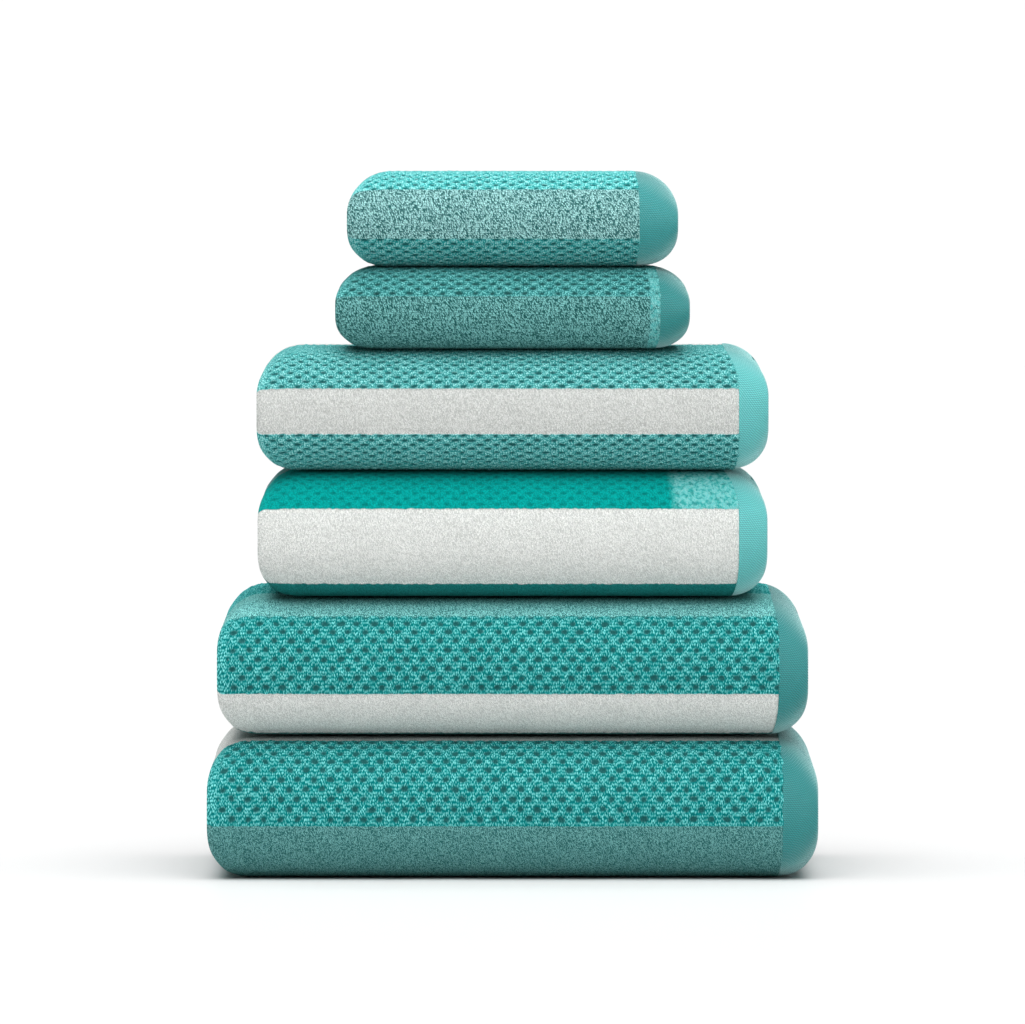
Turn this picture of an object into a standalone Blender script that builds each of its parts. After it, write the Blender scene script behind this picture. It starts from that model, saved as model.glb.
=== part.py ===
"""A stack of six folded terry towels: two bath towels, two hand towels and two washcloths.

Each towel is folded in half across its width, which makes a slab of two layers with the fold on the left and
the two side hems on the right. The slab is then folded along its length. Bath and hand towels are folded in
thirds and then in half, and washcloths are folded in half twice. The last fold faces the front, at -Y.

Each towel has five pieces: the terry cloth, a hem strip along each long side, and a hem strip at each end.
"""

from collections import namedtuple
from math import cos, pi, radians, sin

import bmesh
import bpy
from mathutils import Vector

# Driving dimensions, in metres.
SLAB_GAP = 0.0006  # between neighbouring slabs of one towel
TOWEL_GAP = 0.0003  # between a towel and the one that lies on it
PIECE_GAP = 0.0003  # between the cloth and its hems
END_HEM = 0.018  # width of an end hem
END_ROUND = 0.022  # how far in from its two ends a towel gets thinner
END_SHAPE = 2.6  # exponent of that curve: 2 is an ellipse, more is squarer
THIN_RIGHT = 0.42  # share of the thickness left at the tip of the stacked hems
THIN_LEFT = 0.55  # share of the thickness left at the tip of the stacked folds
FOLD_TIP = 0.5  # thickness of a slab's folded edge, as a share of the slab's
FOLD_TIP_REACH = 0.003  # how far in from the folded edge a slab reaches its full thickness
FRONT_CORNERS = 6  # corners between the flat facets of a front fold
BACK_CORNERS = 4  # the same for a back fold

# A towel's width is half its cloth's, height is its share of the stack, length is its cloth's, setback is how
# far its front lies behind the lowest towel's, and side_hem is the width of a side hem.
Towel = namedtuple("Towel", "name width height length folds setback side_hem terry")
BATH_COLOUR = (0.24, 0.60, 0.59)
HAND_COLOUR = (0.42, 0.70, 0.69)
WASH_COLOUR = (0.33, 0.60, 0.59)
HEM_COLOUR = (0.34, 0.66, 0.66)
TOWELS = (
    Towel("bath_towel_lower", 0.300, 0.0700, 1.20, "thirds", 0.0000, 0.0165, BATH_COLOUR),
    Towel("bath_towel_upper", 0.290, 0.0680, 1.20, "thirds", 0.0004, 0.0135, BATH_COLOUR),
    Towel("hand_towel_lower", 0.250, 0.0625, 0.90, "thirds", 0.0015, 0.0130, HAND_COLOUR),
    Towel("hand_towel_upper", 0.251, 0.0595, 0.90, "thirds", 0.0020, 0.0135, HAND_COLOUR),
    Towel("washcloth_lower", 0.174, 0.0405, 0.34, "halves", 0.0050, 0.0135, WASH_COLOUR),
    Towel("washcloth_upper", 0.1625, 0.0465, 0.33, "halves", 0.0060, 0.0180, WASH_COLOUR),
)

# A fold in the path: its centre (the front or the back of the straight runs, and its height in slab
# thicknesses above the towel's middle), its radius in slab thicknesses, and the angles that it turns between.
Fold = namedtuple("Fold", "at level radius start end")
FOLDS = {
    "thirds": (
        Fold("front", 0, 1.5, -90, -270),
        Fold("back", 2, 0.5, -90, 90),
        Fold("front", 0, 2.5, 90, 270),
        Fold("back", -1.5, 1.0, -90, 90),
        Fold("front", 0, 0.5, -90, -270),
    ),
    "halves": (
        Fold("front", 0, 0.5, -90, -270),
        Fold("back", 1, 0.5, -90, 90),
        Fold("front", 0, 1.5, 90, 270),
    ),
}
SLABS_HIGH = {"thirds": 6, "halves": 4}
# How far the cloth's first and last end reach behind the centres of the back folds, in slab thicknesses.
TAILS = {"thirds": (0.0, 1.0), "halves": (0.7, 0.9)}


def material(name, colour, roughness):
    """A plain woven cloth finish from an sRGB colour."""
    made = bpy.data.materials.new(name)
    made.use_nodes = True
    shader = made.node_tree.nodes["Principled BSDF"]
    linear = [channel**2.2 for channel in colour]
    shader.inputs["Base Color"].default_value = (*linear, 1)
    shader.inputs["Roughness"].default_value = roughness
    shader.inputs["Metallic"].default_value = 0.0
    made.diffuse_color = (*linear, 1)
    return made


def slab_pitch(towel):
    """Height of one slab of two layers, with the gap to its neighbour."""
    return (towel.height - TOWEL_GAP + SLAB_GAP) / SLABS_HIGH[towel.folds]


def fold_points(fold, centre, pitch):
    """Corners of a fold whose facets touch its circle, so that the straight runs meet it smoothly."""
    count = FRONT_CORNERS if fold.at == "front" else BACK_CORNERS
    step = radians(fold.end - fold.start) / count
    reach = fold.radius * pitch / cos(step / 2)
    angles = [radians(fold.start) + step * (index + 0.5) for index in range(count)]
    return [Vector((centre + reach * cos(a), fold.level * pitch + reach * sin(a))) for a in angles]


def straight_run(towel):
    """Length of each straight run, when the folds and the two tails have taken their share of the cloth."""
    folds = FOLDS[towel.folds]
    used = pi * sum(fold.radius for fold in folds) + sum(TAILS[towel.folds])
    return (towel.length - used * slab_pitch(towel)) / (len(folds) + 1)


def depth(towel):
    """From the front of the front fold to the back of the widest back fold."""
    half_height = SLABS_HIGH[towel.folds] / 2
    back = max(fold.radius + 0.5 for fold in FOLDS[towel.folds] if fold.at == "back")
    return (half_height + back) * slab_pitch(towel) - SLAB_GAP + straight_run(towel)


def fold_path(towel, front):
    """The slab's middle line from one end of the cloth to the other, as (y, height above the middle)."""
    pitch = slab_pitch(towel)
    folds = FOLDS[towel.folds]
    turn = front + pitch * SLABS_HIGH[towel.folds] / 2 - SLAB_GAP / 2
    centres = {"front": turn, "back": turn + straight_run(towel)}
    first, last = folds[0], folds[-1]
    start_level = first.level + first.radius * sin(radians(first.start))
    end_level = last.level + last.radius * sin(radians(last.end))
    start_tail, end_tail = TAILS[towel.folds]
    path = [Vector((centres["back"] + start_tail * pitch, start_level * pitch))]
    for fold in folds:
        path += fold_points(fold, centres[fold.at], pitch)
    return path + [Vector((centres["back"] + end_tail * pitch, end_level * pitch))]


def offset_path(path, distance):
    """The path moved to its left by a distance, with its corners kept sharp."""
    ways = [(b - a).normalized() for a, b in zip(path, path[1:])]
    sides = [Vector((-way.y, way.x)) for way in ways]
    before, after = sides[:1] + sides, sides + sides[-1:]
    return [p + (a + b) * distance / (1 + a.dot(b)) for p, a, b in zip(path, before, after)]


def trimmed(path, length):
    """The path with this length taken off both ends, which are straight there."""
    first = path[0] + (path[1] - path[0]).normalized() * length
    last = path[-1] + (path[-2] - path[-1]).normalized() * length
    return [first, *path[1:-1], last]


def end_factor(distance, tip):
    """Share of the towel's thickness that is left at a distance from its left or right end."""
    inward = 1 - min(max(distance / END_ROUND, 0), 1)
    return tip + (1 - tip) * (1 - inward**END_SHAPE) ** (1 / END_SHAPE)


def thinned(towel, x, z):
    """Height z above the towel's middle, drawn in towards it near the towel's ends."""
    left = end_factor(x + towel.width / 2, THIN_LEFT)
    right = end_factor(towel.width / 2 - x, THIN_RIGHT)
    return z * min(left, right)


def folded_sheet(name, towel, path, stations, thickness, tip=1.0):
    """A sheet laid along the path, flat in X between the stations, given its thickness and then rounded."""
    data = bpy.data.meshes.new(name)
    sheet = bmesh.new()
    across, along = len(stations) - 1, len(path) - 1
    bmesh.ops.create_grid(sheet, x_segments=across, y_segments=along, size=0.5)
    sheet.verts.layers.deform.verify()
    weight = sheet.verts.layers.deform.active
    for vertex in sheet.verts:
        column = round((vertex.co.x + 0.5) * across)
        point = path[round((vertex.co.y + 0.5) * along)]
        vertex[weight][0] = tip if column == 0 else 1.0
        vertex.co = (stations[column], point.x, point.y)
    bmesh.ops.triangulate(sheet, faces=sheet.faces, quad_method="FIXED")
    sheet.to_mesh(data)
    sheet.free()
    flat = bpy.data.objects.new(name + "_sheet", data)
    bpy.context.scene.collection.objects.link(flat)
    flat.vertex_groups.new(name="thickness")
    solidify = flat.modifiers.new("thickness", "SOLIDIFY")
    solidify.thickness = thickness
    solidify.offset = 0
    solidify.use_even_offset = True
    solidify.vertex_group = "thickness"
    bpy.context.view_layer.update()
    evaluated = flat.evaluated_get(bpy.context.evaluated_depsgraph_get())
    solid = bpy.data.meshes.new_from_object(evaluated)
    bpy.data.objects.remove(flat)
    for vertex in solid.vertices:
        vertex.co.z = thinned(towel, vertex.co.x, vertex.co.z)
    return solid


def add_piece(name, solid, towel, parent, collection, colour, roughness):
    solid.name = name
    solid.shade_smooth()
    solid.set_sharp_from_angle(angle=radians(50))
    solid.materials.clear()
    solid.materials.append(material(name, colour, roughness))
    piece = bpy.data.objects.new(name, solid)
    piece.parent = parent
    piece.location.z = (towel.height - TOWEL_GAP) / 2
    collection.objects.link(piece)


def add_towel(towel, front, parent, collection):
    """The towel's five pieces under its own empty, which is at the height of its underside."""
    pitch = slab_pitch(towel)
    slab = pitch - SLAB_GAP
    left, right = -towel.width / 2, towel.width / 2
    seam = right - towel.side_hem
    cloth_stations = (
        left,
        left + FOLD_TIP_REACH,
        left + END_ROUND * 0.4,
        left + END_ROUND,
        right - END_ROUND,
        seam - PIECE_GAP,
    )
    hem_stations = (seam, right - towel.side_hem * 0.35, right)
    path = fold_path(towel, front + towel.setback)

    cloth = folded_sheet(
        towel.name, towel, trimmed(path, END_HEM + PIECE_GAP), cloth_stations, slab, FOLD_TIP
    )
    add_piece(towel.name + "_terry_cloth", cloth, towel, parent, collection, towel.terry, 0.95)

    for layer, side in (("inner", 1), ("outer", -1)):
        hem_path = offset_path(path, side * pitch / 4)
        hem = folded_sheet(towel.name, towel, hem_path, hem_stations, pitch / 2 - SLAB_GAP)
        name = f"{towel.name}_side_hem_{layer}"
        add_piece(name, hem, towel, parent, collection, HEM_COLOUR, 0.7)

    ends = (("first", path[0], path[1]), ("last", path[-1], path[-2]))
    for which, edge, inside in ends:
        strip = [edge, edge + (inside - edge).normalized() * END_HEM]
        hem = folded_sheet(towel.name, towel, strip, cloth_stations, slab, FOLD_TIP)
        name = f"{towel.name}_end_hem_{which}"
        add_piece(name, hem, towel, parent, collection, HEM_COLOUR, 0.7)


def add_base(towel, parent, height, collection):
    """An empty at the height of the towel's underside, on the line that it is lifted along."""
    base = bpy.data.objects.new(towel.name, None)
    base.empty_display_size = 0.05
    base.parent = parent
    base.location.z = height
    collection.objects.link(base)
    return base


def main():
    for old in list(bpy.data.objects):
        bpy.data.objects.remove(old)
    collection = bpy.data.collections.new("bath_towel_set")
    bpy.context.scene.collection.children.link(collection)
    front = -depth(TOWELS[0]) / 2
    base, below = None, 0.0
    for towel in TOWELS:
        base = add_base(towel, base, below, collection)
        add_towel(towel, front, base, collection)
        below = towel.height


main()
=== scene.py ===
"""Looks of a stack of six folded terry towels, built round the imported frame.

Each towel's terry cloth is one real sheet: a strip of cloth folded in half across its width and then folded
along its length, with its honeycomb of hollows pressed into the outer side. Its hems are thin bands, each a
piece of its own.

A point of a towel is first placed on the flat slab, as x and a distance from the slab's middle, and as a
length along the cloth. It is then carried round the folds, and at last drawn in towards the towel's ends.
"""

import math
from collections import namedtuple

import bpy
import numpy as np
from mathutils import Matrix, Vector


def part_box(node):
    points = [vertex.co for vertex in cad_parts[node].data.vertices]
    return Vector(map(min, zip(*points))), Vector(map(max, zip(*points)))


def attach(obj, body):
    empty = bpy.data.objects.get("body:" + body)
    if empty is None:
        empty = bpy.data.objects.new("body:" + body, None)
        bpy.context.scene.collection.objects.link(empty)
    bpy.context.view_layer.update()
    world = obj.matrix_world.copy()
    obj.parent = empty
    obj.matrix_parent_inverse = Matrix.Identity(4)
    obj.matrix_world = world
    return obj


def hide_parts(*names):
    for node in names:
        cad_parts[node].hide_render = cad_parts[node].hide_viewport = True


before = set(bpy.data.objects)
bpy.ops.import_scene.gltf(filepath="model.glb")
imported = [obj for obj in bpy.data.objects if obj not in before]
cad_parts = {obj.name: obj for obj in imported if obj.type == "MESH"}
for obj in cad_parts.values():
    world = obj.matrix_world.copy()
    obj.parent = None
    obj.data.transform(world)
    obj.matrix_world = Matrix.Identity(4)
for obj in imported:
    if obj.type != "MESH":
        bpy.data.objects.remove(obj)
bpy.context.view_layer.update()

# Sizes are in metres, and places come from the frame.
SLAB_GAP = 0.0006  # between neighbouring slabs of one towel, as in the frame
LAYER_GAP = 0.0003  # half of the space between the two layers of a slab
PIECE_GAP = 0.0003  # between the terry cloth and its hems
END_HEM = 0.018  # width of an end hem
FRONT_SHAPE = {"thirds": 2.3, "halves": 2.0}  # exponent of the outer front fold: 2 is round, more is flatter
END_REACH = 0.022  # how far in from its tip the rounded end of a towel goes
END_FLAT = {"thirds": 0.25, "halves": 0.12}  # share of the tip's height that is upright
TOP_CORNERS, BOTTOM_CORNERS = 2.0, 2.5  # exponents of the end's corners
MEAN_CORNERS = 2.3  # one exponent for both, where only a length or a thickness follows from it
FOLD_PULL = 0.005  # how far the top and the bottom are drawn in at the folded end
PULL_FADES = 0.090  # how far in from an end that reaches
PULL_POWER = 1.5  # exponent of how it fades
END_SETBACK = 0.009  # how much a front fold gives way at the tip of an end, if the tip were of no thickness
CAMERA_AWAY = 8.0
CAMERA_ELEVATION = 2.25  # degrees
VIEW_WIDTH = 0.5088  # what the camera sees at the object, from left to right
VIEW_HEIGHT_MIDDLE = 0.1767  # the height that the middle of the view looks at
FLOOR_SIZE, FLOOR_GAP, FLOOR_GREY = 400.0, 0.0002, 0.68
SURROUND_STRENGTH, SURROUND_GREY = 1.5, 0.17

Fold = namedtuple("Fold", "at level radius start end")
FOLDS = {
    "thirds": (
        Fold("front", 0, 1.5, -90, -270),
        Fold("back", 2, 0.5, -90, 90),
        Fold("front", 0, 2.5, 90, 270),
        Fold("back", -1.5, 1.0, -90, 90),
        Fold("front", 0, 0.5, -90, -270),
    ),
    "halves": (
        Fold("front", 0, 0.5, -90, -270),
        Fold("back", 1, 0.5, -90, 90),
        Fold("front", 0, 1.5, 90, 270),
    ),
}
SLABS_HIGH = {"thirds": 6, "halves": 4}
TAILS = {"thirds": (0.0, 1.0), "halves": (0.7, 0.9)}

# A band of the cloth's pattern: its kind, how far above the middle of the front fold it starts, as a length
# along the cloth, and what its colours are multiplied by, which is partly the band's own tone and partly
# painted light and shade: lighter where the towel above shades a band, darker where a band lies in shade.
# Each goes down to where the next one starts.
Band = namedtuple("Band", "kind top shade", defaults=(1.0,))
# row is the height of a row of hollows in the honeycomb, pull is how far the top and the bottom of a towel's
# hem end are drawn in, and tone names its colours. strip is a paler patch beside the hem, as its width and
# the height above which it shows.
Look = namedtuple("Look", "folds length slot bands row pull tone strip", defaults=(None,))
LOOKS = {
    "bath_towel_lower": Look(
        "thirds", 1.20, "bath_terry",
        (
            Band("heather", 0.330),
            Band("white", 0.260),
            Band("honeycomb", 0.0426),
            Band("heather", -0.0083, 1.12),
        ),
        0.00505, (0.0025, 0.0030), "deep",
    ),
    "bath_towel_upper": Look(
        "thirds", 1.20, "bath_terry",
        (
            Band("honeycomb", 0.190),
            # Painted light: this strip is lightened against the shadow of the towel above.
            Band("heather", 0.100, 1.9),
            Band("honeycomb", 0.0285),
            Band("white", -0.0127, 1.04),
            Band("heather", -0.0440),
        ),
        0.00475, (0.0040, 0.0045), "deep",
    ),
    "hand_towel_lower": Look(
        "thirds", 0.90, "hand_terry",
        (
            Band("heather", 0.140),
            Band("turquoise", 0.090),
            Band("white", 0.0137, 1.02),
            Band("teal", -0.0268, 1.2),
            Band("heather", -0.0750),
        ),
        0.0032, (0.0090, 0.0045), "clear", (0.0320, 0.0137),
    ),
    "hand_towel_upper": Look(
        "thirds", 0.90, "hand_terry",
        (
            Band("white", 0.170),
            Band("honeycomb", 0.130),
            Band("white", 0.0114, 0.88),
            Band("honeycomb", -0.0115, 0.92),
            Band("heather", -0.0750),
        ),
        0.0025, (0.0090, 0.0025), "clear",
    ),
    "washcloth_lower": Look(
        "halves", 0.34, "wash_terry",
        (Band("heather", 0.080), Band("honeycomb", 0.060), Band("heather", 0.0065)),
        0.0027, (0.0030, 0.0030), "soft", (0.0060, -1.0),
    ),
    "washcloth_upper": Look(
        "halves", 0.33, "wash_terry",
        (
            Band("heather", 0.105),
            Band("honeycomb", 0.075),
            Band("heather", 0.0167),
            # Painted shade: the lowest band is darkened as if it lay in shade.
            Band("honeycomb", -0.0094, 0.66),
        ),
        0.0025, (0.0028, 0.0028), "light",
    ),
}
HOLLOW_COLUMN = 0.0081  # spacing of the hollows along a row
HOLLOW_DEPTH = 0.0013
SMALL_ROW = 0.004  # towels with lower rows than this have finer loops and shallower hollows
SMALL_DEPTH = 0.75  # depth of those hollows, as a share of the others'
FAINT_HONEYCOMB = 0.4  # depth of the hollows in a turquoise band, as a share of those in a honeycomb band
# How far each kind of band lies above the honeycomb's bumps.
BAND_HEIGHT = {"honeycomb": 0.0, "heather": -0.0003, "white": -0.0007, "turquoise": -0.0002, "teal": -0.0003}
SWELL = 0.3  # share of the honeycomb's relief that is a smooth swell between the hollows
EDGE_SOFT = 0.0003  # half of the height over which one band's relief turns into the next


def fold_level(fold, angle):
    """Height of a fold's middle line above the towel's middle at this angle, in slab thicknesses."""
    return fold.level + fold.radius * math.sin(math.radians(angle))


class Towel:
    """One towel's measures, from the frame, with its folds."""

    def __init__(self, name, look):
        self.name, self.look = name, look
        pieces = [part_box(f"{name}_{piece}") for piece in ("terry_cloth", "side_hem_inner", "side_hem_outer")]
        low = np.min([np.array(corner[0]) for corner in pieces], axis=0)
        high = np.max([np.array(corner[1]) for corner in pieces], axis=0)
        self.left, self.right = low[0], high[0]
        self.seam = pieces[2][0][0]
        self.middle = (low[2] + high[2]) / 2
        self.half_height = (high[2] - low[2]) / 2
        self.folds = FOLDS[look.folds]
        self.flat = END_FLAT[look.folds]
        slabs = SLABS_HIGH[look.folds]
        self.pitch = (2 * self.half_height + SLAB_GAP) / slabs
        self.slab = self.pitch - SLAB_GAP
        used = math.pi * sum(fold.radius for fold in self.folds) + sum(TAILS[look.folds])
        self.run = (look.length - used * self.pitch) / (len(self.folds) + 1)
        self.front = low[1] + self.pitch * slabs / 2 - SLAB_GAP / 2
        self.back = self.front + self.run
        self.stretches = self.make_stretches()

    def make_stretches(self):
        """The slab's middle line as straight runs and arcs, each with the length of cloth where it starts."""
        centre = {"front": self.front, "back": self.back}
        stretches, at = [], 0.0
        tails = (TAILS[self.look.folds][0], *[0] * (len(self.folds) - 1), TAILS[self.look.folds][1])
        way = -1.0
        for index, fold in enumerate(self.folds):
            level = fold_level(fold, fold.start)
            start = centre["back" if way < 0 else "front"] - way * tails[index] * self.pitch
            length = self.run + tails[index] * self.pitch
            stretches.append(("run", at, length, (start, level * self.pitch, way)))
            at += length
            turn = fold.radius * self.pitch * math.pi
            stretches.append(("arc", at, turn, (centre[fold.at], fold)))
            at += turn
            way = -way
        level = fold_level(self.folds[-1], self.folds[-1].end)
        length = self.run + tails[-1] * self.pitch
        start = centre["back" if way < 0 else "front"]
        stretches.append(("run", at, length, (start, level * self.pitch, way)))
        self.length = at + length
        return stretches

    def outer_fold(self):
        """Where along the cloth the outermost front fold has its middle, and half its length."""
        radii = [fold.radius if fold.at == "front" else 0.0 for fold in self.folds]
        widest = radii.index(max(radii))
        _, at, turn, _ = self.stretches[2 * widest + 1]
        return at + turn / 2, turn / 2

    def middle_line(self, along):
        """The slab's middle line at lengths along the cloth: y, height, and the way that it goes."""
        y, h, ty, th = (np.zeros_like(along) for _ in range(4))
        for kind, at, length, data in self.stretches:
            last = at + length >= self.length - 1e-9
            here = (along >= at - 1e-12) & ((along < at + length) | last)
            ahead = along[here] - at
            if kind == "run":
                start, level, way = data
                y[here], h[here], ty[here], th[here] = start + way * ahead, level, way, 0.0
            else:
                centre, fold = data
                radius = fold.radius * self.pitch
                turned = math.copysign(1.0, fold.end - fold.start)
                angle = math.radians(fold.start) + turned * ahead / radius
                y[here] = centre + radius * np.cos(angle)
                h[here] = fold.level * self.pitch + radius * np.sin(angle)
                ty[here], th[here] = -turned * np.sin(angle), turned * np.cos(angle)
        return y, h, ty, th

    def place(self, x, offset, along):
        """Points of the folded towel. x and offset may differ from along in shape, and are broadcast."""
        y, h, ty, th = self.middle_line(along)
        y, h = y + th * offset, h - ty * offset
        y, h = self.flatten_front(y, h)
        x, h, thick = self.draw_in(x + 0 * y, h)
        # Two slow waves keep the front from being quite straight.
        slow = 0.0005 * np.sin(x * 61 + self.middle * 90)
        wave = slow + 0.0004 * np.sin(x * 137 + h * 70 + self.middle * 40)
        ahead = np.clip((self.front - y) / (self.half_height * 0.6), 0, 1)
        y = y + (wave + END_SETBACK * (1 - thick)) * ahead
        return np.stack([x, y, self.middle + h], axis=-1)

    def flatten_front(self, y, h):
        """The front folds are flatter than half circles, more so further out."""
        dy = np.minimum(y - self.front, 0.0)
        reach = np.hypot(dy, h)
        share = np.clip(reach / self.half_height, 0, 1)
        power = 2 + (FRONT_SHAPE[self.look.folds] - 2) * share**2
        safe = np.maximum(reach, 1e-9)
        swell = ((np.abs(dy) / safe) ** power + (np.abs(h) / safe) ** power) ** (-1 / power)
        swell = np.where(reach > 1e-6, swell, 1.0)
        return np.where(dy < 0, self.front + dy * swell, y), np.where(dy < 0, h * swell, h)

    def draw_in(self, x, h):
        """Near its ends a towel gets thinner, and its top and bottom are drawn in.

        The last value is the share of the thickness that is left.
        """
        share = h / self.half_height
        blend = 0.35  # how far from the middle the bottom's corners turn into the top's
        lift = smooth_step(-blend, blend, share)
        power = BOTTOM_CORNERS + (TOP_CORNERS - BOTTOM_CORNERS) * lift
        top, bottom = self.look.pull
        factor, shift = 1.0, 0.0
        ends = ((x - self.left, FOLD_PULL, 1), (self.right - x, bottom + (top - bottom) * lift, -1))
        for away, pull, way in ends:
            fade = pull_fade(away)
            factor = np.minimum(factor, outline_level(away + pull * fade, power, self.flat))
            level = share * outline_level(pull, power, self.flat)
            shift = shift + way * outline_inset(level, power, self.flat) * fade
        return x + shift, h * factor, factor

    def straighten(self, x, above):
        """A length above the middle of the front, less where the end is thinner, so that bands stay level."""
        away = np.minimum(x - self.left, self.right - x)
        factor = outline_level(away + FOLD_PULL * pull_fade(away), MEAN_CORNERS, self.flat)
        near = 1 - smooth_step(self.half_height, 3 * self.half_height, np.abs(above))
        return above * (1 - (1 - factor) * near)


def pull_fade(away):
    """How much of an end's pull is left this far in from it."""
    return np.clip(1 - away / PULL_FADES, 0, 1) ** PULL_POWER


def outline_level(inset, power, flat):
    """A towel's height this far in from the tip of its rounded end, as a share of half its thickness."""
    inward = 1 - np.clip(inset / END_REACH, 0, 1)
    return flat + (1 - flat) * np.maximum(1 - inward**power, 0) ** (1 / power)


def outline_inset(level, power, flat):
    """How far in from its tip a towel's rounded end is at this height, the opposite of outline_level."""
    rise = np.clip((np.abs(level) - flat) / (1 - flat), 0, 1)
    return END_REACH * (1 - np.maximum(1 - rise**power, 0) ** (1 / power))


def noise(x, y, seed, count=24):
    """Smooth noise over a surface, from waves in random directions, about -1 to 1."""
    rng = np.random.default_rng(seed)
    total = 0
    for angle, stretch, phase in rng.uniform((0, 0.5, 0), (math.pi, 1.6, 2 * math.pi), (count, 3)):
        total = total + np.sin((x * math.cos(angle) + y * math.sin(angle)) * stretch * 2 * math.pi + phase)
    return total / math.sqrt(count)


def smooth_step(low, high, value):
    t = np.clip((value - low) / (high - low), 0, 1)
    return t * t * (3 - 2 * t)


# ---- meshes --------------------------------------------------------------------------------------------


def ranges(limits, steps):
    """Places from the first limit to the last, with each stretch's own greatest step."""
    places = [limits[0]]
    for low, high, step in zip(limits, limits[1:], steps):
        count = max(1, math.ceil(abs(high - low) / step - 1e-9))
        places += list(np.linspace(low, high, count + 1)[1:])
    return np.array(places)


def grid_faces(rows, columns):
    """Quads of a tube: columns go round it and close, rows go along it, and both its ends are left open."""
    row, column = np.meshgrid(np.arange(rows - 1), np.arange(columns), indexing="ij")
    after = (column + 1) % columns
    a, b = row * columns + column, row * columns + after
    c, d = (row + 1) * columns + after, (row + 1) * columns + column
    return np.stack([a, b, c, d], axis=-1).reshape(-1, 4)


def hairpin_caps(rows, columns, layers):
    """Quads that close both ends of a hairpin, between the outer points and the inner points facing them."""
    faces = []
    for row, flip in ((0, True), (rows - 1, False)):
        for a, b in zip(layers, layers[1:]):
            quad = [row * columns + i for i in (a[0], b[0], b[1], a[1])]
            faces.append(quad if flip else quad[::-1])
    return np.array(faces)


def add_mesh(name, points, faces, attributes):
    """A mesh object from numpy arrays, smooth, with attributes on its points."""
    data = bpy.data.meshes.new(name)
    data.from_pydata(points.reshape(-1, 3), [], [])
    data.loops.add(faces.size)
    data.polygons.add(len(faces))
    data.loops.foreach_set("vertex_index", faces.astype(np.int32).ravel())
    data.polygons.foreach_set("loop_start", np.arange(0, faces.size, 4, dtype=np.int32))
    data.update(calc_edges=True)
    data.validate()
    data.shade_smooth()
    for key, values in attributes.items():
        kind = "FLOAT_VECTOR" if values.ndim == 2 else "FLOAT"
        layer = data.attributes.new(key, kind, "POINT")
        field = "vector" if kind == "FLOAT_VECTOR" else "value"
        layer.data.foreach_set(field, values.astype(np.float32).ravel())
    made = bpy.data.objects.new(name, data)
    bpy.context.scene.collection.objects.link(made)
    return made


def hairpin(towel, thickness, offset, outer_step, inner_step):
    """A two-layer slab's outline across the width, as x, distance from the slab's middle and side.

    It goes along the outer face from the seam to the fold at the left, round it and back, and returns inside.
    Each point of the outer face has one facing it on the inner face, at the same place in its own half.
    """
    turn = towel.left + offset + thickness / 2
    edge = towel.seam - PIECE_GAP
    lip = edge - 0.001  # the steps are finer from here to the edge
    xs = ranges([edge, lip, turn], [0.0005, outer_step])
    xs_back = ranges([turn, lip, edge], [inner_step, 0.001])
    bend_points = 11
    angles = np.linspace(math.pi / 2, 3 * math.pi / 2, bend_points)[1:-1]
    outer, inner = offset + thickness / 2, offset - thickness / 2
    face = [(x, outer, 1.0) for x in xs]
    face += [(turn + outer * math.cos(a), outer * math.sin(a), 0.0) for a in angles]
    face += [(x, -outer, -1.0) for x in xs_back]
    back = [(x, inner, 0.0) for x in xs]
    back += [(turn + inner * math.cos(a), inner * math.sin(a), 0.0) for a in angles]
    back += [(x, -inner, 0.0) for x in xs_back]
    loop = np.array(face + back[::-1])
    count = len(face)
    facing = [(i, 2 * count - 1 - i) for i in range(count)]
    return loop, facing


def pattern_rows(towel, first, last, fine, medium):
    """Lengths along the cloth, close together where the outer side shows, and far apart inside the stack."""
    middle, half = towel.outer_fold()
    margin, coarse = 0.004, 0.010
    limits = [first, middle - half - towel.run, middle - half - margin, middle + half + margin]
    limits += [middle + half + towel.run, last]
    steps = [coarse, medium, fine, coarse, coarse]
    marks = [at for _, at, _, _ in towel.stretches if first < at < last]
    rows = ranges(limits, steps)
    for kind, at, length, _ in towel.stretches:
        if kind == "arc" and not middle - half - 0.001 < at < middle:
            bend = np.linspace(at, at + length, 17)
            rows = np.concatenate([rows, bend[(bend > first) & (bend < last)]])
    rows = np.unique(np.round(np.concatenate([rows, marks]), 6))
    least_step = 0.0002
    keep = np.concatenate([[True], np.diff(rows) > least_step])
    return rows[keep]


def surface_length(towel, rows):
    """How far each row is above the middle of the front, measured along the cloth's outer face."""
    middle_x = (towel.left + towel.right) / 2
    points = towel.place(np.array(middle_x), towel.slab / 2, rows)
    steps = np.linalg.norm(np.diff(points, axis=0), axis=1)
    length = np.concatenate([[0], np.cumsum(steps)])
    return np.interp(towel.outer_fold()[0], rows, length) - length


def band_at(look, above, kind):
    """1 where a band of this kind is, from the lengths above the middle of the front."""
    inside = np.zeros_like(above)
    beyond = 10.0  # further than any cloth reaches
    tops = [band.top for band in look.bands] + [-beyond]
    for band, below in zip(look.bands, tops[1:]):
        if band.kind == kind:
            top = beyond if band is look.bands[0] else band.top
            inside += smooth_step(below - EDGE_SOFT, below + EDGE_SOFT, above)
            inside -= smooth_step(top - EDGE_SOFT, top + EDGE_SOFT, above)
    return inside


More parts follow.
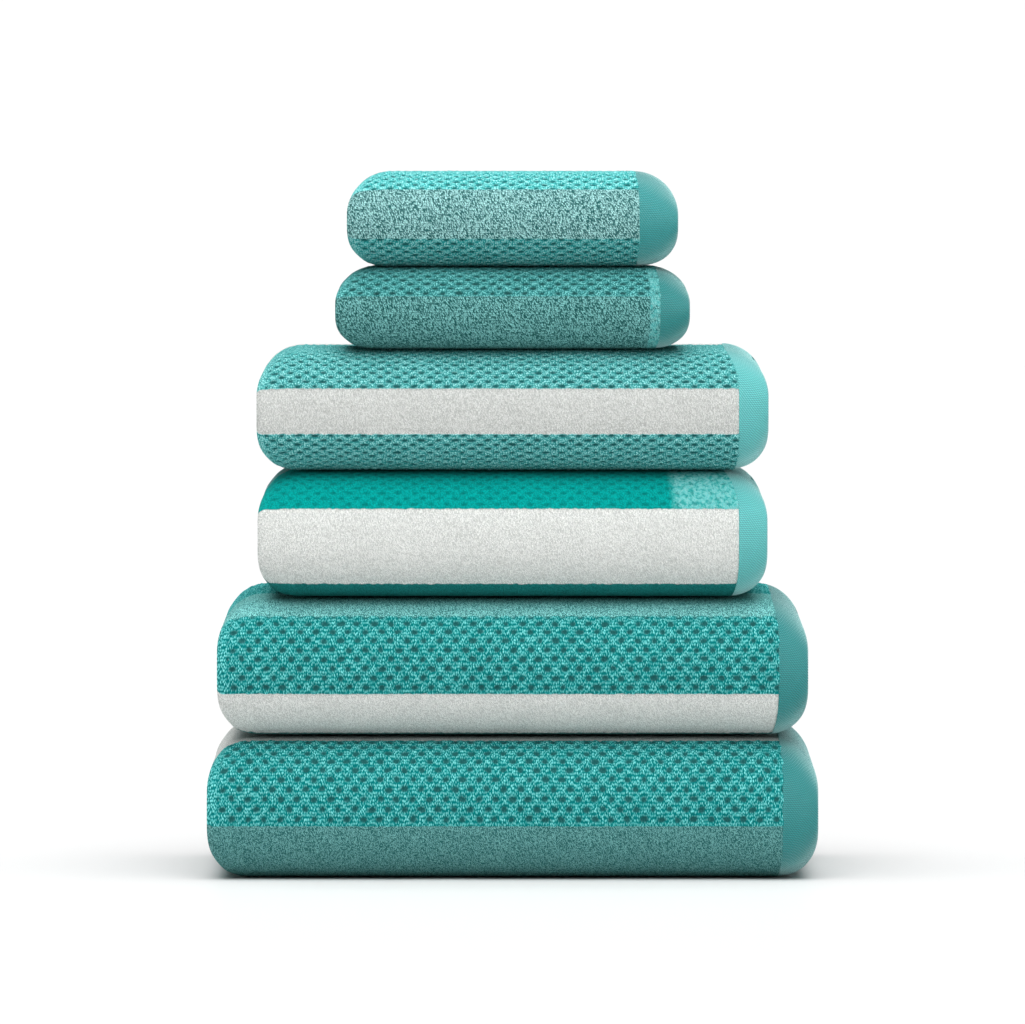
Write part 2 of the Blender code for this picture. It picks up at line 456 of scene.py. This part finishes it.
def hollows(across, above, row):
    """The honeycomb: 1 in a hollow's middle and 0 on top of a bump, with rows set off by half a hollow."""
    drift = 0.009  # how far apart places are that stray from the pattern in their own ways
    across = across + 0.0004 * noise(across / drift, above / drift, 5)
    above = above + 0.05 * row * noise(across / drift, above / drift, 6)
    number = np.round(above / row)
    columns = across / HOLLOW_COLUMN + np.where(number % 2 == 0, 0.0, 0.5)
    nearest = np.round(columns)
    chance = (np.sin(nearest * 12.9898 + number * 78.233) * 43758.5453) % 1
    from_column = (columns - nearest) * HOLLOW_COLUMN
    from_row = above - number * row
    ellipse = (from_column / (0.0018 + 0.0004 * chance)) ** 2 + (from_row / (0.33 * row)) ** 2
    swell = 0.5 + 0.5 * np.cos(2 * math.pi * across / HOLLOW_COLUMN) * np.cos(math.pi * above / row)
    return (1 - SWELL) * np.exp(-(ellipse**1.3)) * (0.8 + 0.2 * chance) + SWELL * swell


def terry_cloth(towel):
    """The towel's cloth without its hems: one closed sheet with its pattern pressed into the outer face."""
    small = towel.look.row < SMALL_ROW
    loop, facing = hairpin(towel, towel.slab / 2 - LAYER_GAP, towel.slab / 4 + LAYER_GAP / 2, 0.0009, 0.005)
    fine = 0.0005 if small else 0.0008
    rows = pattern_rows(towel, END_HEM + PIECE_GAP, towel.length - END_HEM - PIECE_GAP, fine, 0.0012)
    x, offset, side = loop[:, 0][None, :], loop[:, 1][None, :], loop[:, 2][None, :]
    above = towel.straighten(x, surface_length(towel, rows)[:, None])
    outside = side > 0.5
    across = x - towel.left
    honey = band_at(towel.look, above, "honeycomb")
    honey = honey + FAINT_HONEYCOMB * band_at(towel.look, above, "turquoise")
    hollow = hollows(across, above, towel.look.row) * honey
    rise = sum(height * band_at(towel.look, above, kind) for kind, height in BAND_HEIGHT.items())
    depth = HOLLOW_DEPTH * (SMALL_DEPTH if small else 1.0)
    rough_size = 0.0035
    rough = 0.00010 * noise(across / rough_size, above / rough_size, 3)
    seam_round = 0.0005 * (1 - smooth_step(0, 0.0012, towel.seam - x))
    press = np.where(outside, rise - depth * hollow + rough * (1 + honey) - seam_round, 0.0)
    least = towel.slab / 2 * 0.55  # no hollow goes deeper than this, from the slab's middle
    x, offset = x + 0 * above, np.maximum(offset + press, np.where(outside, least, -1.0))
    points = towel.place(x, offset, rows[:, None] + 0 * x)
    faces = np.concatenate([grid_faces(len(rows), len(loop)), hairpin_caps(len(rows), len(loop), facing)])
    # The slab's other face has a different part of the loops' pattern.
    other_face = np.where(side < -0.5, 0.4, 0.0)
    cloth = np.stack([across + 0 * above + other_face, above + 0 * x, 0 * x], axis=-1)
    attributes = {
        "cloth": cloth.reshape(-1, 3),
        "hollow": (hollow * np.where(outside, 1.0, 0.0)).ravel(),
    }
    return add_mesh(f"{towel.name}_terry", points, faces, attributes)


def hem_strip(towel, which):
    """A side hem: a thin band along the cloth's long side, from the seam to the towel's right end."""
    sign = 1 if which == "outer" else -1
    half_hem, tip_share, bevel_width = 0.0010, 0.35, 0.0008
    sunk = 0.0003  # how far the band lies below the slab's face
    xs = ranges([towel.seam - 0.001, towel.seam, towel.right - 0.001, towel.right], [0.0005, 0.0013, 0.0003])
    factor = outline_level(towel.right - xs + 0.003, MEAN_CORNERS, towel.flat)
    bevel = np.minimum((towel.right - xs) / bevel_width, 1)
    half = half_hem / factor * (tip_share + (1 - tip_share) * np.sqrt(bevel))
    centre = towel.slab / 2 - sunk - half_hem / factor
    if which == "inner":
        centre = towel.slab / 4 + 0 * centre
    loop = [(x, sign * c + h) for x, c, h in zip(xs, centre, half)]
    loop += [(x, sign * c - h) for x, c, h in zip(xs, centre, half)][::-1]
    loop = np.array(loop)
    rows = pattern_rows(towel, 0.0, towel.length, 0.0016, 0.003)
    above = surface_length(towel, rows)[:, None]
    x, offset = loop[:, 0][None, :] + 0 * above, loop[:, 1][None, :] + 0 * above
    points = towel.place(x, offset, rows[:, None] + 0 * x)
    count = len(xs)
    facing = [(i, 2 * count - 1 - i) for i in range(count)]
    faces = np.concatenate([grid_faces(len(rows), len(loop)), hairpin_caps(len(rows), len(loop), facing)])
    cloth = np.stack([x - towel.seam, above + 0 * x, 0 * x], axis=-1).reshape(-1, 3)
    return add_mesh(f"{towel.name}_hem_{which}", points, faces, {"cloth": cloth})


def end_hem(towel, which):
    """An end hem: a thin band across the cloth's end, folded in half with the cloth."""
    thickness, step, border = 0.0018, 0.004, 0.0006
    loop, facing = hairpin(towel, thickness, towel.slab / 4, step, step)
    first = 0.0 if which == "first" else towel.length - END_HEM
    limits = [first, first + border, first + END_HEM - border, first + END_HEM]
    rows = ranges(limits, [0.0003, 0.0018, 0.0003])
    above = (rows - first)[:, None]
    x, offset = loop[:, 0][None, :] + 0 * above, loop[:, 1][None, :] + 0 * above
    points = towel.place(x, offset, rows[:, None] + 0 * x)
    faces = np.concatenate([grid_faces(len(rows), len(loop)), hairpin_caps(len(rows), len(loop), facing)])
    cloth = np.stack([above + 0 * x, x - towel.left, 0 * x], axis=-1).reshape(-1, 3)
    return add_mesh(f"{towel.name}_end_{which}", points, faces, {"cloth": cloth})


# ---- materials -----------------------------------------------------------------------------------------


def linear(colour):
    """A colour given as sRGB from 0 to 255, as the shader needs it."""
    values = [channel / 255 for channel in colour]
    return (*[c / 12.92 if c <= 0.04045 else ((c + 0.055) / 1.055) ** 2.4 for c in values], 1.0)


class Nodes:
    """A short way to write a material's node tree."""

    def __init__(self, name):
        self.material = bpy.data.materials.new(name)
        self.material.use_nodes = True
        self.tree = self.material.node_tree
        self.shader = self.tree.nodes["Principled BSDF"]

    def node(self, kind, inputs=(), **settings):
        made = self.tree.nodes.new(kind)
        for key, value in settings.items():
            setattr(made, key, value)
        for key, value in dict(inputs).items():
            if isinstance(value, bpy.types.NodeSocket):
                self.tree.links.new(value, made.inputs[key])
            else:
                made.inputs[key].default_value = value
        return made

    def math(self, operation, *values):
        return self.node("ShaderNodeMath", enumerate(values), operation=operation).outputs[0]

    def vector(self, operation, *values):
        return self.node("ShaderNodeVectorMath", enumerate(values), operation=operation).outputs[0]

    def spread(self, value, low, high, to_low=0.0, to_high=1.0):
        inputs = {"Value": value, "From Min": low, "From Max": high, "To Min": to_low, "To Max": to_high}
        made = self.node("ShaderNodeMapRange", inputs, interpolation_type="SMOOTHSTEP")
        return made.outputs["Result"]

    def mix(self, factor, a, b, blend="MIX"):
        made = self.node("ShaderNodeMix", data_type="RGBA", blend_type=blend)
        for index, value in ((0, factor), (6, a), (7, b)):
            if isinstance(value, bpy.types.NodeSocket):
                self.tree.links.new(value, made.inputs[index])
            else:
                made.inputs[index].default_value = value
        return made.outputs[2]

    def noise(self, vector, scale, detail=2.0, rough=0.6):
        inputs = {"Vector": vector, "Scale": scale, "Detail": detail, "Roughness": rough}
        return self.node("ShaderNodeTexNoise", inputs).outputs["Fac"]

    def cells(self, vector, random=1.0):
        inputs = {"Vector": vector, "Scale": 1.0, "Randomness": random}
        made = self.node("ShaderNodeTexVoronoi", inputs, voronoi_dimensions="2D")
        return made.outputs["Distance"], made.outputs["Color"]

    def attribute(self, name):
        return self.node("ShaderNodeAttribute", attribute_name=name)

    def ramp(self, value, stops):
        made = self.node("ShaderNodeValToRGB", {0: value})
        ramp = made.color_ramp
        while len(ramp.elements) < len(stops):
            ramp.elements.new(0.5)
        for element, (place, colour) in zip(ramp.elements, stops):
            element.position = place
            element.color = colour
        return made.outputs["Color"]

    def finish(self, colour, height, strength, roughness, specular, sheen, sheen_tint):
        self.tree.links.new(colour, self.shader.inputs["Base Color"])
        bump = self.node("ShaderNodeBump", {"Height": height, "Strength": strength, "Distance": 0.001})
        self.tree.links.new(bump.outputs[0], self.shader.inputs["Normal"])
        self.shader.inputs["Roughness"].default_value = roughness
        self.shader.inputs["Specular IOR Level"].default_value = specular
        self.shader.inputs["Sheen Weight"].default_value = sheen
        self.shader.inputs["Sheen Roughness"].default_value = 0.4
        self.shader.inputs["Sheen Tint"].default_value = sheen_tint
        return self.material


# sRGB colours: painted shade in the honeycomb's hollows and between its loops, the loops' own colour and a
# painted highlight on their tips, the heather's two, the plain bands' and the hem's.
Tone = namedtuple("Tone", "pit gap loop tip dark light white turquoise teal hem")
TONES = {
    "deep": Tone(
        (32, 90, 90), (6, 116, 115), (46, 168, 167), (148, 238, 237), (38, 92, 91), (124, 186, 184),
        (246, 248, 245), (0, 186, 179), (38, 126, 122), (26, 136, 136),
    ),
    "clear": Tone(
        (30, 90, 90), (50, 140, 139), (94, 194, 193), (188, 248, 247), (62, 118, 117), (150, 205, 203),
        (246, 248, 245), (0, 186, 179), (38, 134, 130), (90, 190, 189),
    ),
    "soft": Tone(
        (32, 78, 77), (42, 114, 113), (74, 164, 163), (148, 228, 227), (28, 82, 80), (138, 208, 206),
        (246, 248, 245), (0, 186, 179), (38, 126, 122), (26, 136, 135),
    ),
    "light": Tone(
        (24, 96, 95), (42, 150, 149), (98, 218, 217), (206, 255, 255), (34, 92, 91), (184, 240, 239),
        (246, 248, 245), (0, 186, 179), (38, 126, 122), (38, 148, 148),
    ),
}
# The darker strands of the plain bands, and painted shade in the hollows of a turquoise one.
WHITE_SHADE, TURQUOISE_SHADE, TEAL_SHADE = (184, 187, 184), (0, 136, 131), (8, 90, 88)
TURQUOISE_PIT_SHADE = (0, 96, 92)
PILE_SHEEN, HEM_SHEEN = (160, 225, 222), (205, 245, 244)
HEM_SHADE = 0.72  # the hem's darker threads, as a share of its colour
# Cells of the pile, in cells per millimetre across and along: loops of the two sizes of honeycomb, and
# strands of the washcloths and the larger towels.
SMALL_LOOPS, LARGE_LOOPS = (1.35, 0.9, 0), (1.45, 0.52, 0)
WASH_STRANDS, TOWEL_STRANDS = (1.9, 1.05, 0), (2.3, 1.5, 0)
BAND_BLUR = 0.25  # half of the height over which two bands' colours mix, in millimetres
FAR = 900.0  # further than any cloth reaches, in millimetres


class Pile:
    """The terry's loops and strands: places on the cloth in millimetres, and cells in two sizes."""

    def __init__(self, made, look):
        self.millimetres = made.vector("MULTIPLY", made.attribute("cloth").outputs["Vector"], (1000, 1000, 0))
        parts = made.node("ShaderNodeSeparateXYZ", {0: self.millimetres})
        self.x, above = parts.outputs["X"], parts.outputs["Y"]
        wander = made.noise(self.millimetres, 0.35, 2)
        self.ragged = made.math("ADD", above, made.math("MULTIPLY", made.math("SUBTRACT", wander, 0.5), 1.2))
        size = SMALL_LOOPS if look.row < SMALL_ROW else LARGE_LOOPS
        loops, tint = made.cells(made.vector("MULTIPLY", self.millimetres, size), 0.7)
        leaning = made.math("ADD", self.x, made.math("MULTIPLY", above, 0.5))
        slanted = made.node("ShaderNodeCombineXYZ", {0: leaning, 1: above})
        size = WASH_STRANDS if look.folds == "halves" else TOWEL_STRANDS
        small, small_tint = made.cells(made.vector("MULTIPLY", slanted.outputs[0], size))
        self.loop_tip = made.spread(loops, 0.60, 0.10)
        self.small_tip = made.spread(small, 0.60, 0.10)
        random = made.node("ShaderNodeSeparateColor", {0: tint}).outputs[0]
        # From the painted shade between loops to the painted highlight on their tips, a little different on
        # each loop.
        self.loop = made.math("MULTIPLY", self.loop_tip, made.spread(random, 0.0, 1.0, 0.6, 1.0))
        small_random = made.node("ShaderNodeSeparateColor", {0: small_tint}).outputs[1]
        chosen = made.spread(small_random, -0.05, 0.8)
        # Strands are darker towards their cells' edges: painted shade between them, over their own two
        # colours.
        self.strands = made.math("MULTIPLY", chosen, made.spread(small, 0.75, 0.15))


def band_colours(made, pile, tone):
    """The colour of each kind of band: loops with a painted highlight on their tips, over painted shade
    between them and in the hollows, or strands of two colours.
    """
    # Painted shade between the loops, the loops' own colour, and a painted highlight on their tips.
    stops = [(0.0, linear(tone.gap)), (0.35, linear(tone.loop)), (0.95, linear(tone.tip))]
    honey = made.ramp(pile.loop, stops)
    hollow = made.attribute("hollow").outputs["Fac"]
    # Painted shade: darker round the hollows and darkest in them.
    honey = made.mix(made.spread(hollow, 0.0, 0.3, 0.0, 0.45), honey, linear(tone.gap))
    honey = made.mix(made.spread(hollow, 0.3, 0.8, 0.0, 0.92), honey, linear(tone.pit))
    turquoise = made.mix(pile.strands, linear(TURQUOISE_SHADE), linear(tone.turquoise))
    # Painted shade in the faint hollows of a turquoise band.
    turquoise = made.mix(made.spread(hollow, 0.08, 0.36, 0.0, 0.55), turquoise, linear(TURQUOISE_PIT_SHADE))
    return {
        "honeycomb": honey,
        "heather": made.mix(pile.strands, linear(tone.dark), linear(tone.light)),
        "white": made.mix(pile.strands, linear(WHITE_SHADE), linear(tone.white)),
        "turquoise": turquoise,
        "teal": made.mix(pile.strands, linear(TEAL_SHADE), linear(tone.teal)),
    }


def add_strip(made, pile, look, tone, seam, result):
    """The paler, mottled patch beside the hem, over the colours so far."""
    width, bottom = (1000 * value for value in look.strip)
    inner = seam * 1000 - width
    beside = made.spread(pile.x, inner - width * 0.1, inner + width * 0.1)
    over = made.spread(pile.ragged, bottom - BAND_BLUR, bottom + BAND_BLUR)
    speckled = made.mix(pile.strands, linear(tone.loop), linear(tone.light))
    mottled = made.spread(made.noise(pile.millimetres, 0.4, 3), 0.40, 0.56, 0.25, 1.0)
    share = made.math("MULTIPLY", made.math("MULTIPLY", beside, over), mottled)
    return made.mix(share, result, speckled)


def white_share(made, pile, bands):
    """1 on the white bands, whose pile is flatter than the others'."""
    whites = 0.0
    tops = [FAR, *[band.top * 1000 for band in bands[1:]], -FAR]
    for band, top, bottom in zip(bands, tops, tops[1:]):
        if band.kind == "white":
            under = made.spread(pile.ragged, top + BAND_BLUR, top - BAND_BLUR)
            over = made.spread(pile.ragged, bottom - BAND_BLUR, bottom + BAND_BLUR)
            whites = made.math("ADD", made.math("MULTIPLY", under, over), whites)
    return whites


def terry_material(look, seam, name):
    """Terry loops in bands of colour, with a relief that follows them."""
    tone = TONES[look.tone]
    made = Nodes(name)
    pile = Pile(made, look)
    shown = band_colours(made, pile, tone)
    result = shown[look.bands[0].kind]
    for band in look.bands[1:]:
        edge = made.spread(pile.ragged, band.top * 1000 + BAND_BLUR, band.top * 1000 - BAND_BLUR)
        # Each band's colours times its factor: partly its own tone, partly painted light and shade.
        shaded = made.mix(1.0, shown[band.kind], (band.shade, band.shade, band.shade, 1), "MULTIPLY")
        result = made.mix(edge, result, shaded)
    if look.strip:
        result = add_strip(made, pile, look, tone, seam, result)
    relief = made.math("MULTIPLY", made.math("ADD", pile.loop_tip, pile.small_tip), 0.5)
    flat = made.math("MULTIPLY", pile.small_tip, 0.5)
    whites = white_share(made, pile, look.bands)
    height = made.node("ShaderNodeMix", {0: whites, 2: relief, 3: flat}).outputs[0]
    return made.finish(result, height, 0.7, 0.95, 0.05, 0.03, linear(PILE_SHEEN))


def hem_material(look, name):
    """A smooth twill band with a soft sheen."""
    tone = TONES[look.tone]
    made = Nodes(name)
    place = made.attribute("cloth").outputs["Vector"]
    millimetres = made.vector("MULTIPLY", place, (1000, 1000, 0))
    parts = made.node("ShaderNodeSeparateXYZ", {0: millimetres})
    x, y = parts.outputs["X"], parts.outputs["Y"]
    twill = made.math("SINE", made.math("MULTIPLY", made.math("ADD", x, made.math("MULTIPLY", y, 0.7)), 5.2))
    ribs = made.math("SINE", made.math("MULTIPLY", y, 6.3))
    weave = made.math("ADD", made.math("MULTIPLY", twill, 0.5), made.math("MULTIPLY", ribs, 0.5))
    dark = linear(tuple(channel * HEM_SHADE for channel in tone.hem))
    result = made.mix(made.spread(weave, -0.8, 0.8), dark, linear(tone.hem))
    return made.finish(result, weave, 0.4, 0.42, 0.38, 1.0, linear(HEM_SHEEN))


# ---- the scene -----------------------------------------------------------------------------------------


def add_camera():
    sensor = 36
    data = bpy.data.cameras.new("camera")
    data.sensor_width = sensor
    data.lens = sensor * CAMERA_AWAY / VIEW_WIDTH
    data.clip_end = 1000
    camera = bpy.data.objects.new("camera", data)
    tilt = math.radians(CAMERA_ELEVATION)
    camera.location = (0, -CAMERA_AWAY * math.cos(tilt), VIEW_HEIGHT_MIDDLE + CAMERA_AWAY * math.sin(tilt))
    camera.rotation_euler = (math.radians(90) - tilt, 0, 0)
    bpy.context.scene.collection.objects.link(camera)
    bpy.context.scene.camera = camera


def add_floor():
    """A plain pale floor, wide enough to reach the horizon."""
    bpy.ops.mesh.primitive_plane_add(size=FLOOR_SIZE, location=(0, 0, -FLOOR_GAP))
    floor = bpy.context.object
    floor.name = "floor"
    finish = Nodes("pale_floor")
    finish.shader.inputs["Base Color"].default_value = (FLOOR_GREY, FLOOR_GREY, FLOOR_GREY, 1)
    finish.shader.inputs["Roughness"].default_value = 0.45
    finish.shader.inputs["Specular IOR Level"].default_value = 0.5
    floor.data.materials.append(finish.material)


def add_surround():
    """A surround that is white up to a little above the horizon and grey higher up."""
    world = bpy.data.worlds.new("pale_surround")
    world.use_nodes = True
    tree = world.node_tree
    way = tree.nodes.new("ShaderNodeTexCoord")
    parts = tree.nodes.new("ShaderNodeSeparateXYZ")
    ramp = tree.nodes.new("ShaderNodeValToRGB")
    tree.links.new(way.outputs["Generated"], parts.inputs[0])
    tree.links.new(parts.outputs["Z"], ramp.inputs[0])
    tree.links.new(ramp.outputs["Color"], tree.nodes["Background"].inputs["Color"])
    tree.nodes["Background"].inputs["Strength"].default_value = SURROUND_STRENGTH
    stops = ((0.05, 1.0), (0.15, SURROUND_GREY))  # the height of a direction, and how pale it is there
    for element, (height, grey) in zip(ramp.color_ramp.elements, stops):
        element.position = height
        element.color = (grey, grey, grey, 1)
    bpy.context.scene.world = world


def add_sun(name, tilt, turn, angle, strength):
    """A soft light from far away, with angles in degrees.

    tilt is from straight above towards the front, and turn is towards the right.
    """
    data = bpy.data.lights.new(name, "SUN")
    data.energy = strength
    data.angle = math.radians(angle)
    light = bpy.data.objects.new(name, data)
    light.rotation_euler = (math.radians(tilt), 0, math.radians(turn))
    bpy.context.scene.collection.objects.link(light)


def main():
    bpy.context.scene.view_settings.view_transform = "Standard"
    add_camera()
    add_floor()
    add_surround()
    add_sun("key", 46, 0, 50, 1.4)
    add_sun("overhead", 12, 0, 70, 3.9)
    for name, look in LOOKS.items():
        towel = Towel(name, look)
        terry = terry_cloth(towel)
        terry.data.materials.append(terry_material(look, towel.seam - towel.left, f"{name}_terry"))
        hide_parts(f"{name}_terry_cloth")
        hem_finish = hem_material(look, f"{name}_hem")
        hems = []
        for which in ("outer", "inner"):
            hem = hem_strip(towel, which)
            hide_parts(f"{name}_side_hem_{which}")
            hems.append(hem)
        for which in ("first", "last"):
            hem = end_hem(towel, which)
            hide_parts(f"{name}_end_hem_{which}")
            hems.append(hem)
        for piece in (terry, *hems):
            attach(piece, name)
        for hem in hems:
            hem.data.materials.append(hem_finish)


main()
